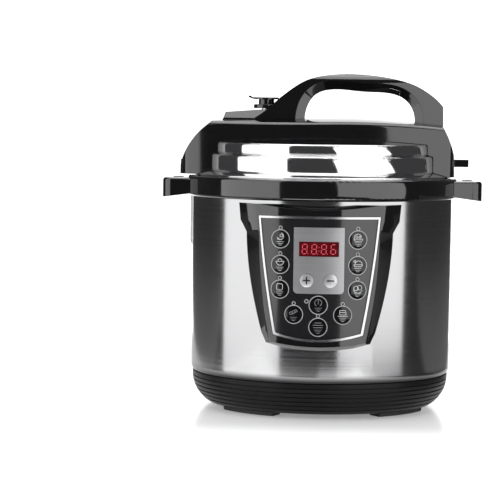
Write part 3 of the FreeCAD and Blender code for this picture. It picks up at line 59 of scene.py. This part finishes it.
# The marks on the panel and the keys, in millimetres.
MARK_LINE = 0.4
WORD_LINE = 0.27
SIGN_LINE, SIGN_HALF = 1.3, 3.5
RING_RADIUS, RING_LINE = 8.75, 0.62
LAMP_RING, LAMP_RISE, LAMP_LINE = 1.6, 10.6, 0.55
STOP_LAMP_RING, STOP_LAMP_RISE, STOP_LAMP_TURN = 1.7, 3.6, -4.72

# Points nearer than the weld distance, in metres, are joined; then faces that meet at less than
# the smooth angle, in degrees, are shaded as one surface.
WELD_DISTANCE = 0.000002
SMOOTH_ANGLE = 36


# ---------------------------------------------------------------- materials

class Shader:
    """A Principled material with helpers for the procedural nodes that feed it."""

    def __init__(self, name, colour, metallic=0.0, roughness=0.4, **values):
        self.name = name
        self.material = bpy.data.materials.new(name)
        self.material.use_nodes = True
        self.tree = self.material.node_tree
        self.bsdf = self.tree.nodes["Principled BSDF"]
        self.colour = (*colour, 1.0)
        self.roughness = roughness
        self.set(self.bsdf, **{"Base Color": self.colour, "Metallic": metallic,
                               "Roughness": roughness, **values})

    def set(self, node, **values):
        for socket, value in values.items():
            node.inputs[socket].default_value = value

    def node(self, kind, **values):
        made = self.tree.nodes.new("ShaderNode" + kind)
        self.set(made, **values)
        return made

    def link(self, source, target):
        self.tree.links.new(source, target)

    def noise(self, stretch, detail=3.0):
        """Noise over the object's own coordinates, with one scale per axis (per metre)."""
        place = self.node("TexCoord")
        mapping = self.node("Mapping", Scale=stretch)
        noise = self.node("TexNoise", Scale=1.0, Detail=detail)
        self.link(place.outputs["Object"], mapping.inputs["Vector"])
        self.link(mapping.outputs["Vector"], noise.inputs["Vector"])
        return noise.outputs["Fac"]

    def position(self, axis):
        """How far along one of the scene's axes the surface lies."""
        place = self.node("NewGeometry")
        split = self.node("SeparateXYZ")
        self.link(place.outputs["Position"], split.inputs["Vector"])
        return split.outputs[axis]

    def ramp(self, source, start, end, low, high, kind="LINEAR"):
        """Maps source from between start and end to between low and high."""
        span = self.node("MapRange", **{"From Min": start, "From Max": end,
                                        "To Min": low, "To Max": high})
        span.interpolation_type = kind
        self.link(source, span.inputs["Value"])
        return span.outputs["Result"]

    def vary_colour(self, source, amount):
        """Lets the colour drift between darker and lighter by amount, as a fraction."""
        mix = self.node("Mix")
        mix.data_type = "RGBA"
        low = [c * (1 - amount) for c in self.colour[:3]] + [1.0]
        high = [min(c * (1 + amount), 1.0) for c in self.colour[:3]] + [1.0]
        mix.inputs[6].default_value = low
        mix.inputs[7].default_value = high
        self.link(source, mix.inputs["Factor"])
        self.link(mix.outputs[2], self.bsdf.inputs["Base Color"])
        return self

    def vary_roughness(self, source, spread):
        """Lets the roughness drift by spread to either side, over the middle of the noise."""
        smoothest = max(self.roughness - spread, 0.02)
        drift = self.ramp(source, 0.3, 0.7, smoothest, self.roughness + spread)
        self.link(drift, self.bsdf.inputs["Roughness"])
        return self

    def bump(self, source, depth, strength=1.0):
        bump = self.node("Bump", Strength=strength, Distance=depth)
        self.link(source, bump.inputs["Height"])
        self.link(bump.outputs["Normal"], self.bsdf.inputs["Normal"])
        return self

    def round_edges(self, radius):
        """Shades sharp edges as if they were rounded to this radius."""
        bevel = self.node("Bevel", Radius=radius)
        bevel.samples = 6
        bumps = [n for n in self.tree.nodes if n.type == "BUMP"]
        target = bumps[0].inputs["Normal"] if bumps else self.bsdf.inputs["Normal"]
        self.link(bevel.outputs["Normal"], target)
        return self


def painted_foot_shade(made, foot, head, least):
    """Paints shade into a metal's colour below the height head, darkening it down to the fraction
    least at foot.
    """
    shade = made.node("VectorMath")
    shade.operation = "SCALE"
    base = made.bsdf.inputs["Base Color"]
    made.link(base.links[0].from_socket, shade.inputs["Vector"])
    made.link(made.ramp(made.position("Z"), foot, head, least, 1.0), shade.inputs["Scale"])
    made.link(shade.outputs["Vector"], base)
    return made


def fading_front(made, front, back, strongest, strength):
    """Lets a stage board glow more towards its front edge, so that reflections fade out there."""
    glow = made.ramp(made.position("Y"), front, back, strongest, strength, "SMOOTHSTEP")
    made.link(glow, made.bsdf.inputs["Emission Strength"])
    return made


def plastic(name, colour, roughness, coat=0.0, grain=0.02, depth=0.0, edge=0.0, **values):
    """Moulded plastic or print, with a fine grain of this depth and edges rounded by edge."""
    made = Shader(name, colour, 0.0, roughness,
                  **{"Coat Weight": coat, "Coat Roughness": 0.05, **values})
    cloud = made.noise((45, 45, 45))
    made.vary_colour(cloud, 0.12).vary_roughness(cloud, grain)
    if depth:
        made.bump(made.noise((2500, 2500, 2500), 2.0), depth, 0.5)
    if edge:
        made.round_edges(edge)
    return made


def metal(name, colour, roughness, lines=(60, 60, 60), drift=0.05, grain=0.03, depth=0.0,
          **values):
    """Bare metal whose colour and roughness follow noise with this scale along each axis."""
    made = Shader(name, colour, 1.0, roughness, **values)
    streak = made.noise(lines)
    made.vary_colour(streak, drift).vary_roughness(streak, grain)
    if depth:
        made.bump(streak, depth, 0.3)
    return made


def turned(made, anisotropic):
    """Brushing that runs round the cooker's axis and spreads its reflections upright."""
    tangent = made.node("Tangent")
    tangent.direction_type = "RADIAL"
    tangent.axis = "Z"
    made.link(tangent.outputs["Tangent"], made.bsdf.inputs["Tangent"])
    made.set(made.bsdf, **{"Anisotropic": anisotropic, "Anisotropic Rotation": 0.25})
    return made


def glowing(name, colour, glow, strength):
    """A lit figure of the display."""
    made = Shader(name, colour, 0.0, 0.3,
                  **{"Emission Color": (*glow, 1.0), "Emission Strength": strength})
    made.vary_colour(made.noise((400, 400, 400)), 0.1)
    return made


def clear_cup(name):
    """Frosted see-through plastic."""
    made = Shader(name, (0.86, 0.87, 0.88), 0.0, 0.28,
                  **{"Transmission Weight": 0.55, "IOR": 1.2})
    made.vary_colour(made.noise((30, 30, 30)), 0.04)
    return made


def by_name(*shaders):
    return {made.name: made.material for made in shaders}


MATERIALS = by_name(
    plastic("black_satin", (0.008, 0.008, 0.0085), 0.3, depth=0.00002, edge=0.0004, IOR=1.22),
    plastic("rubber", (0.012, 0.012, 0.012), 0.6, depth=0.00004),
    # The brushed steel gets painted shade that darkens it towards its rolled foot.
    turned(painted_foot_shade(metal("brushed", (0.44, 0.44, 0.445), 0.17, (4, 4, 1400), 0.06, 0.03),
                       foot=0.037, head=0.044, least=0.12), 0.5),
    plastic("black_gloss", (0.005, 0.005, 0.0055), 0.08, coat=0.8, edge=0.0008),
    metal("screw_steel", (0.55, 0.55, 0.54), 0.3),
    turned(metal("aluminium", (0.7, 0.7, 0.7), 0.35, (6, 6, 900)), 0.4),
    metal("cast_aluminium", (0.5, 0.5, 0.5), 0.5, (300, 300, 300), depth=0.00005),
    metal("tube_steel", (0.2, 0.19, 0.18), 0.45),
    metal("plain_steel", (0.6, 0.6, 0.6), 0.22),
    metal("spring_steel", (0.5, 0.5, 0.5), 0.25),
    plastic("ceramic_white", (0.78, 0.76, 0.72), 0.5),
    plastic("board_green", (0.02, 0.16, 0.06), 0.35),
    plastic("component_black", (0.02, 0.02, 0.02), 0.4),
    plastic("film_white", (0.6, 0.6, 0.6), 0.5),
    metal("dome_steel", (0.7, 0.7, 0.7), 0.2),
    plastic("lamp", (0.03, 0.03, 0.03), 0.2),
    metal("silver_trim", (0.62, 0.62, 0.63), 0.24),
    plastic("overlay_graphite", (0.012, 0.012, 0.013), 0.16, coat=0.6),
    metal("plaque_silver", (0.5, 0.5, 0.51), 0.36, (8, 8, 1600), 0.22, 0.05, Metallic=0.85),
    plastic("lens_red", (0.085, 0.003, 0.006), 0.12, coat=0.3),
    metal("brass_pin", (0.72, 0.55, 0.28), 0.25),
    turned(metal("pot_aluminium", (0.32, 0.32, 0.33), 0.4, (6, 6, 500)), 0.4),
    plastic("silicone", (0.7, 0.69, 0.66), 0.45),
    turned(metal("lid_steel", (0.78, 0.78, 0.785), 0.06, (5, 5, 700), 0.02, 0.015)
           .round_edges(0.003), 0.3),
    plastic("key_black", (0.005, 0.005, 0.0055), 0.07),
    metal("key_silver", (0.6, 0.6, 0.61), 0.36, Metallic=0.75),
    plastic("print_white", (0.78, 0.78, 0.79), 0.5),
    plastic("print_grey", (0.3, 0.3, 0.31), 0.5),
    plastic("print_black", (0.01, 0.01, 0.01), 0.4),
    glowing("digit_red", (0.25, 0.03, 0.04), (0.62, 0.07, 0.09), 0.8),
    plastic("ring_silver", (0.5, 0.5, 0.51), 0.35),
    clear_cup("cup_clear"),
)


def dress_nodes():
    slots = {s["node"]: s["material_slot"] for s in frame["record"]["subparts"]}
    for name, node in nodes.items():
        node.data.materials.clear()
        node.data.materials.append(MATERIALS[slots[name]])


# ---------------------------------------------------------------- soft edges on the CAD nodes

def smoothing_group(name):
    """A modifier group: welds the mesh, then shades it smooth except over sharp edges."""
    group = bpy.data.node_groups.new(name, "GeometryNodeTree")
    group.interface.new_socket("Geometry", in_out="INPUT", socket_type="NodeSocketGeometry")
    group.interface.new_socket("Geometry", in_out="OUTPUT", socket_type="NodeSocketGeometry")
    new, link = group.nodes.new, group.links.new
    entry, leave = new("NodeGroupInput"), new("NodeGroupOutput")
    weld = new("GeometryNodeMergeByDistance")
    weld.inputs["Distance"].default_value = WELD_DISTANCE
    faces, sharp = new("GeometryNodeSetShadeSmooth"), new("GeometryNodeSetShadeSmooth")
    sharp.domain = "EDGE"
    sharp.inputs["Shade Smooth"].default_value = False
    bend, over = new("GeometryNodeInputMeshEdgeAngle"), new("FunctionNodeCompare")
    over.inputs[1].default_value = math.radians(SMOOTH_ANGLE)
    link(entry.outputs[0], weld.inputs["Geometry"])
    link(weld.outputs["Geometry"], faces.inputs["Geometry"])
    link(faces.outputs["Geometry"], sharp.inputs["Geometry"])
    link(bend.outputs["Unsigned Angle"], over.inputs[0])
    link(over.outputs["Result"], sharp.inputs["Selection"])
    link(sharp.outputs["Geometry"], leave.inputs[0])
    return group


def soften_nodes():
    group = smoothing_group("smooth_faces")
    for node in nodes.values():
        modifier = node.modifiers.new("smooth", "NODES")
        modifier.node_group = group


# ---------------------------------------------------------------- marks drawn on curved faces

def middle_of(name):
    """The middle of a node's box, in millimetres."""
    low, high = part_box(name)
    return (low + high) / 2 / MM


def turn_of(name):
    """How far a node sits round the cooker's axis from the front, in degrees."""
    middle = middle_of(name)
    return math.degrees(math.atan2(middle.x, -middle.y))


def on_cylinder(radius, turn=0.0):
    """A face of the panel: (x, z) in millimetres to a point at that radius, turned aside."""
    spin = Matrix.Rotation(math.radians(turn), 3, "Z")

    def place(x, z, lift):
        r = radius + lift
        return spin @ (Vector((x, -math.sqrt(r * r - x * x), z)) * MM)
    return place


def on_key(name):
    """The domed face of a key: (across, up) in millimetres from its middle."""
    low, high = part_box(name)
    spin = Matrix.Rotation(math.radians(turn_of(name)), 3, "Z")
    level = middle_of(name).z
    radius = (high.z - low.z) / 2 / MM
    edge, crown = (SMALL_KEY_EDGE, SMALL_KEY_CROWN) if name in SMALL_KEYS else (KEY_EDGE, KEY_CROWN)
    rise = crown - edge
    bend = (radius * radius + rise * rise) / (2 * rise)

    def place(u, v, lift):
        sink = bend - math.sqrt(max(bend * bend - u * u - v * v, 0.0))
        return (spin @ Vector((u, -(crown - sink + lift), 0)) + Vector((0, 0, level + v))) * MM
    return place


def resample(points, step, closed):
    """The same polyline with no stretch longer than step."""
    ring = list(points) + ([points[0]] if closed else [])
    out = []
    for a, b in zip(ring, ring[1:]):
        count = max(1, math.ceil(math.dist(a, b) / step))
        out += [(a[0] + (b[0] - a[0]) * i / count, a[1] + (b[1] - a[1]) * i / count)
                for i in range(count)]
    return out if closed else out + [ring[-1]]


def stroke(points, width, place, closed=False, thick=0.26, sink=0.08, step=0.8):
    """A raised line: vertices and faces of a closed strip that follows the surface."""
    path = resample(points, step, closed)
    count = len(path)
    verts, faces = [], []
    for i, (x, y) in enumerate(path):
        before = path[i - 1] if closed or i else path[i]
        after = path[(i + 1) % count] if closed or i < count - 1 else path[i]
        along = Vector((after[0] - before[0], after[1] - before[1])).normalized()
        side = Vector((-along.y, along.x)) * width / 2
        for lift in (thick - sink, -sink):
            verts += [place(x + side.x, y + side.y, lift), place(x - side.x, y - side.y, lift)]
    loops = count if closed else count - 1
    for i in range(loops):
        a, b = 4 * i, 4 * ((i + 1) % count)
        faces += [(a, a + 1, b + 1, b), (a + 3, a + 2, b + 2, b + 3), (a + 2, a, b, b + 2),
                  (a + 1, a + 3, b + 3, b + 1)]
    if not closed:
        last = 4 * (count - 1)
        faces += [(0, 2, 3, 1), (last, last + 1, last + 3, last + 2)]
    return verts, faces


def circle(x, y, radius, start=0, end=360, count=28):
    """Points of a circle or an arc, in degrees anticlockwise from the right."""
    full = end - start == 360
    steps = count if full else count + 1
    return [(x + radius * math.cos(math.radians(start + (end - start) * i / count)),
             y + radius * math.sin(math.radians(start + (end - start) * i / count)))
            for i in range(steps)]


def build(name, shapes, material, body):
    """Joins shapes into one mesh piece that rides on a body of the cooker."""
    verts, faces = [], []
    for shape_verts, shape_faces in shapes:
        faces += [tuple(i + len(verts) for i in face) for face in shape_faces]
        verts += shape_verts
    mesh = bpy.data.meshes.new(name)
    mesh.from_pydata(verts, [], faces)
    mesh.materials.append(MATERIALS[material])
    mesh.validate()
    piece = bpy.data.objects.new(name, mesh)
    bpy.context.scene.collection.objects.link(piece)
    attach(piece, body)


# Plain lines under each pictogram, in the place of words.
WORD_LINES = [((-3.6, -2.6), (3.6, -2.6)), ((-2.6, -4.3), (2.6, -4.3)), ((-1.5, -5.8), (1.5, -5.8))]


def pictograms():
    """Lists of (points, closed) for each key, in a square 12 mm wide around its middle."""
    def arc(*values, **more):
        return circle(*values, **more), False

    def loop(*values):
        return circle(*values), True

    def line(*points):
        return list(points), False

    return {
        "key_left_1": [arc(0.0, 2.6, 3.3, 200, 430), loop(1.0, 3.2, 1.3),
                       line((-2.8, -0.6), (-0.8, 0.9))],
        "key_left_2": [arc(0.0, 3.0, 3.7, 180, 360), line((-4.2, 3.0), (4.2, 3.0)),
                       arc(0.0, 3.5, 2.0, 0, 180)],
        "key_left_3": [(((-2.0, 5.2), (2.0, 5.2), (2.9, 4.2), (2.9, 0.2), (1.9, -0.8),
                         (-1.9, -0.8), (-2.9, 0.2), (-2.9, 4.2)), True)],
        "key_right_1": [arc(-0.4, 1.9, 3.7, 20, 200), (((-4.4, 0.8), (4.6, 0.8), (3.8, -1.0),
                        (-3.4, -1.0)), True), loop(-1.5, 2.8, 1.1), loop(1.6, 2.7, 1.0)],
        "key_right_2": [arc(0.6, 1.0, 3.5, 0, 180), (((-4.2, 0.9), (4.6, 0.9), (3.6, -1.0),
                        (-3.0, -1.0)), True), loop(-3.0, 4.0, 1.0)],
        "key_right_3": [loop(-1.6, 2.0, 2.2), loop(2.0, 2.6, 2.2), arc(0.2, 2.0, 4.6, 200, 340)],
        "key_lower_left": [(((-4.2, 1.6), (2.4, 4.8), (3.8, 3.0), (-3.0, -0.2)), True),
                           line((-1.4, 2.4), (-0.4, 1.0)), line((1.0, 3.6), (2.0, 2.1))],
        "key_lower_right": [(((-3.0, 4.6), (2.6, 4.6), (3.4, 0.4), (-3.0, 0.4)), True),
                            line((-4.8, -0.9), (4.8, -0.9)), line((-3.0, 2.6), (2.9, 2.6))],
        "key_stop": [arc(0.0, 2.4, 3.3, -60, 240), line((0.0, 1.2), (0.0, 5.2))],
        "key_timer": [line((-3.4, 4.2), (3.4, 4.2)), line((-5.0, 2.0), (5.0, 2.0)),
                      line((-4.6, -0.3), (4.6, -0.3))],
    }


def key_marks():
    """The pictograms on the black keys, and the plus and minus signs on the silver ones."""
    marks = pictograms()
    for name in FRONT_KEYS:
        place = on_key(name)
        lines = [stroke(points, MARK_LINE, place, closed) for points, closed in marks[name]]
        lines += [stroke(points, WORD_LINE, place) for points in WORD_LINES]
        ink = "print_grey" if name in DIM_KEYS else "print_white"
        build(name + "_mark", lines, ink, name)
    for name in SMALL_KEYS:
        place = on_key(name)
        bars = [stroke([(-SIGN_HALF, 0), (SIGN_HALF, 0)], SIGN_LINE, place)]
        if name == "key_plus":
            bars += [stroke([(0, side * SIGN_LINE / 2), (0, side * SIGN_HALF)], SIGN_LINE, place)
                     for side in (1, -1)]
        build(name + "_sign", bars, "print_black", name)


def key_rings():
    """The silver rings printed round the keys, with a small ring round each lamp."""
    shapes = []
    for name in FRONT_KEYS:
        level = middle_of(name).z
        place = on_cylinder(OVERLAY_FACE, turn_of(name))
        shapes.append(stroke(circle(0, level, RING_RADIUS, count=60), RING_LINE, place, True))
        if name != "key_stop":
            lamp = circle(0, level + LAMP_RISE, LAMP_RING, count=20)
            shapes.append(stroke(lamp, LAMP_LINE, place, True))
    place = on_cylinder(OVERLAY_FACE, STOP_LAMP_TURN)
    lamp = circle(0, middle_of("key_stop").z + STOP_LAMP_RISE, STOP_LAMP_RING, count=16)
    shapes.append(stroke(lamp, LAMP_LINE, place, True))
    build("key_rings", shapes, "ring_silver", "housing")


def display_digits():
    """Four seven-segment figures, the points between them and the colon, on the red window."""
    face = on_cylinder(WINDOW_FACE)
    level = middle_of("display_lens").z
    half_w, half_h, lean = 2.25, 4.5, 0.06
    line, dot_line, dot_half, dot_gap = 0.85, 0.8, 0.4, 1.0
    gap_across, gap_up, colon_rise = 0.18, 0.12, 1.7
    figures = {-13.6: "abcdefg", -4.6: "abcdefg", 4.6: "abcdefg", 13.6: "acdefg"}
    ends = {"a": ((-1, 1), (1, 1)), "b": ((1, 1), (1, 0)), "c": ((1, 0), (1, -1)),
            "d": ((-1, -1), (1, -1)), "e": ((-1, -1), (-1, 0)), "f": ((-1, 0), (-1, 1)),
            "g": ((-1, 0), (1, 0))}

    def corner(centre, x, y, row):
        return centre + x * half_w + row * half_h * lean, level + y * half_h

    def dot(x, y):
        return stroke([(x - dot_half, y), (x + dot_half, y)], dot_line, face)

    shapes = []
    for centre, segments in figures.items():
        for segment in segments:
            (x0, y0), (x1, y1) = ends[segment]
            dx, dy = (x1 - x0) * gap_across, (y1 - y0) * gap_up
            shapes.append(stroke([corner(centre, x0 + dx, y0 + dy, y0),
                                  corner(centre, x1 - dx, y1 - dy, y1)], line, face))
        if centre != max(figures):
            shapes.append(dot(centre + half_w + dot_gap, level - half_h))
    for rise in (-colon_rise, colon_rise):
        shapes.append(dot(0.0, level + rise))
    build("display_digits", shapes, "digit_red", "housing")


# ---------------------------------------------------------------- studio

def area_light(name, place, target, width, height, power):
    """A rectangular lamp at place that shines towards target."""
    data = bpy.data.lights.new(name, "AREA")
    data.shape = "RECTANGLE"
    data.size, data.size_y = width, height
    data.energy = power
    light = bpy.data.objects.new(name, data)
    bpy.context.scene.collection.objects.link(light)
    light.location = place
    light.rotation_euler = (Vector(target) - Vector(place)).to_track_quat("-Z", "Y").to_euler()


def board(name, rows, material):
    """A stage board that runs through rows of left and right corners."""
    verts = [corner for row in rows for corner in row]
    faces = [(2 * i, 2 * i + 1, 2 * i + 3, 2 * i + 2) for i in range(len(rows) - 1)]
    mesh = bpy.data.meshes.new(name)
    mesh.from_pydata(verts, [], faces)
    for face in mesh.polygons:
        face.use_smooth = True
    mesh.materials.append(material)
    made = bpy.data.objects.new(name, mesh)
    bpy.context.scene.collection.objects.link(made)


def paint(name, shade, roughness, glow=0.0):
    """Plain paint for the stage, which may glow a little."""
    return Shader(name, (shade, shade, shade), 0.0, roughness,
                  **{"Emission Color": (1.0, 1.0, 1.0, 1.0), "Emission Strength": glow})


def across(y, z):
    """The ends of a row: narrow beside the cooker, so that its flanks stay dark, wider behind."""
    left, right, spread_back, spread_front = -0.34, 0.2, 0.17, 0.1
    spread = y * (spread_back if y > 0 else spread_front)
    return (left - spread, y, z), (right + spread, y, z)


def stage_boards():
    """A pale table, a sweep behind it, a board that hangs below it and a grey floor around it."""
    table_front, table_back = -0.31, 0.6
    wall_foot, bend, steps, wall_head = 2.6, 0.9, 12, 3.2
    hanging_at, hanging_foot, hanging_head = 0.1, -0.7, -0.002
    floor_half, floor_front, floor_back, floor_level = 1.6, 0.02, 3.0, -0.003
    table = fading_front(paint("table_paint", 0.9, 0.15),
                         front=-0.28, back=-0.14, strongest=0.75, strength=0.25).material
    sweep = paint("sweep_paint", 0.9, 0.5, 1.0).material
    grey = paint("floor_grey", 0.16, 0.6).material
    turns = [math.radians(90 * i / steps) for i in range(1, steps + 1)]
    profile = [(table_back, 0.0), (wall_foot, 0.0)]
    profile += [(wall_foot + bend * math.sin(turn), bend - bend * math.cos(turn)) for turn in turns]
    profile.append((wall_foot + bend, wall_head))
    board("table", [across(y, 0.0) for y in (table_front, 0.0, table_back)], table)
    board("sweep", [across(y, z) for y, z in profile], sweep)
    board("table_front", [across(hanging_at, z) for z in (hanging_foot, hanging_head)], sweep)
    board("floor", [((-floor_half, y, floor_level), (floor_half, y, floor_level))
                    for y in (floor_front, floor_back)], grey)


def studio():
    """Two softboxes, one light overhead and a weak one for the board that hangs below the table."""
    area_light("left_softbox", (-1.235, -0.659, 0.64), (0, 0, 0.64), 1.52, 1.7, power=15)
    area_light("right_softbox", (1.019, -0.974, 0.62), (0, 0, 0.62), 1.62, 1.7, power=16)
    area_light("overhead", (0, 0.2, 2.0), (0, 0.2, 0), 2.2, 2.2, power=42)
    area_light("front_glow", (0, -0.9, -0.5), (0, 0.1, -0.3), 1.2, 0.4, power=6)
    world = bpy.data.worlds.new("studio")
    world.use_nodes = True
    world.node_tree.nodes["Background"].inputs["Color"].default_value = (0.05, 0.05, 0.052, 1)
    bpy.context.scene.world = world
    bpy.context.scene.view_settings.view_transform = "Standard"


def camera():
    """A long lens from the front, a little to the right and above, as in the photograph."""
    heading, dip, lean = 2.69, 3.69, 0.75
    data = bpy.data.cameras.new("camera")
    data.sensor_width = 36.0
    data.lens = 164.5
    data.clip_start, data.clip_end = 0.1, 30.0
    shot = bpy.data.objects.new("camera", data)
    bpy.context.scene.collection.objects.link(shot)
    shot.location = (0.0361, -2.2997, 0.303)
    aim = Matrix.Rotation(math.radians(heading), 4, "Z")
    tilt = Matrix.Rotation(math.radians(90 - dip), 4, "X")
    roll = Matrix.Rotation(math.radians(lean), 4, "Z")
    shot.matrix_world = Matrix.Translation(shot.location) @ aim @ tilt @ roll
    bpy.context.scene.camera = shot


# ---------------------------------------------------------------- put together

dress_nodes()
soften_nodes()
key_marks()
key_rings()
display_digits()
stage_boards()
studio()
camera()
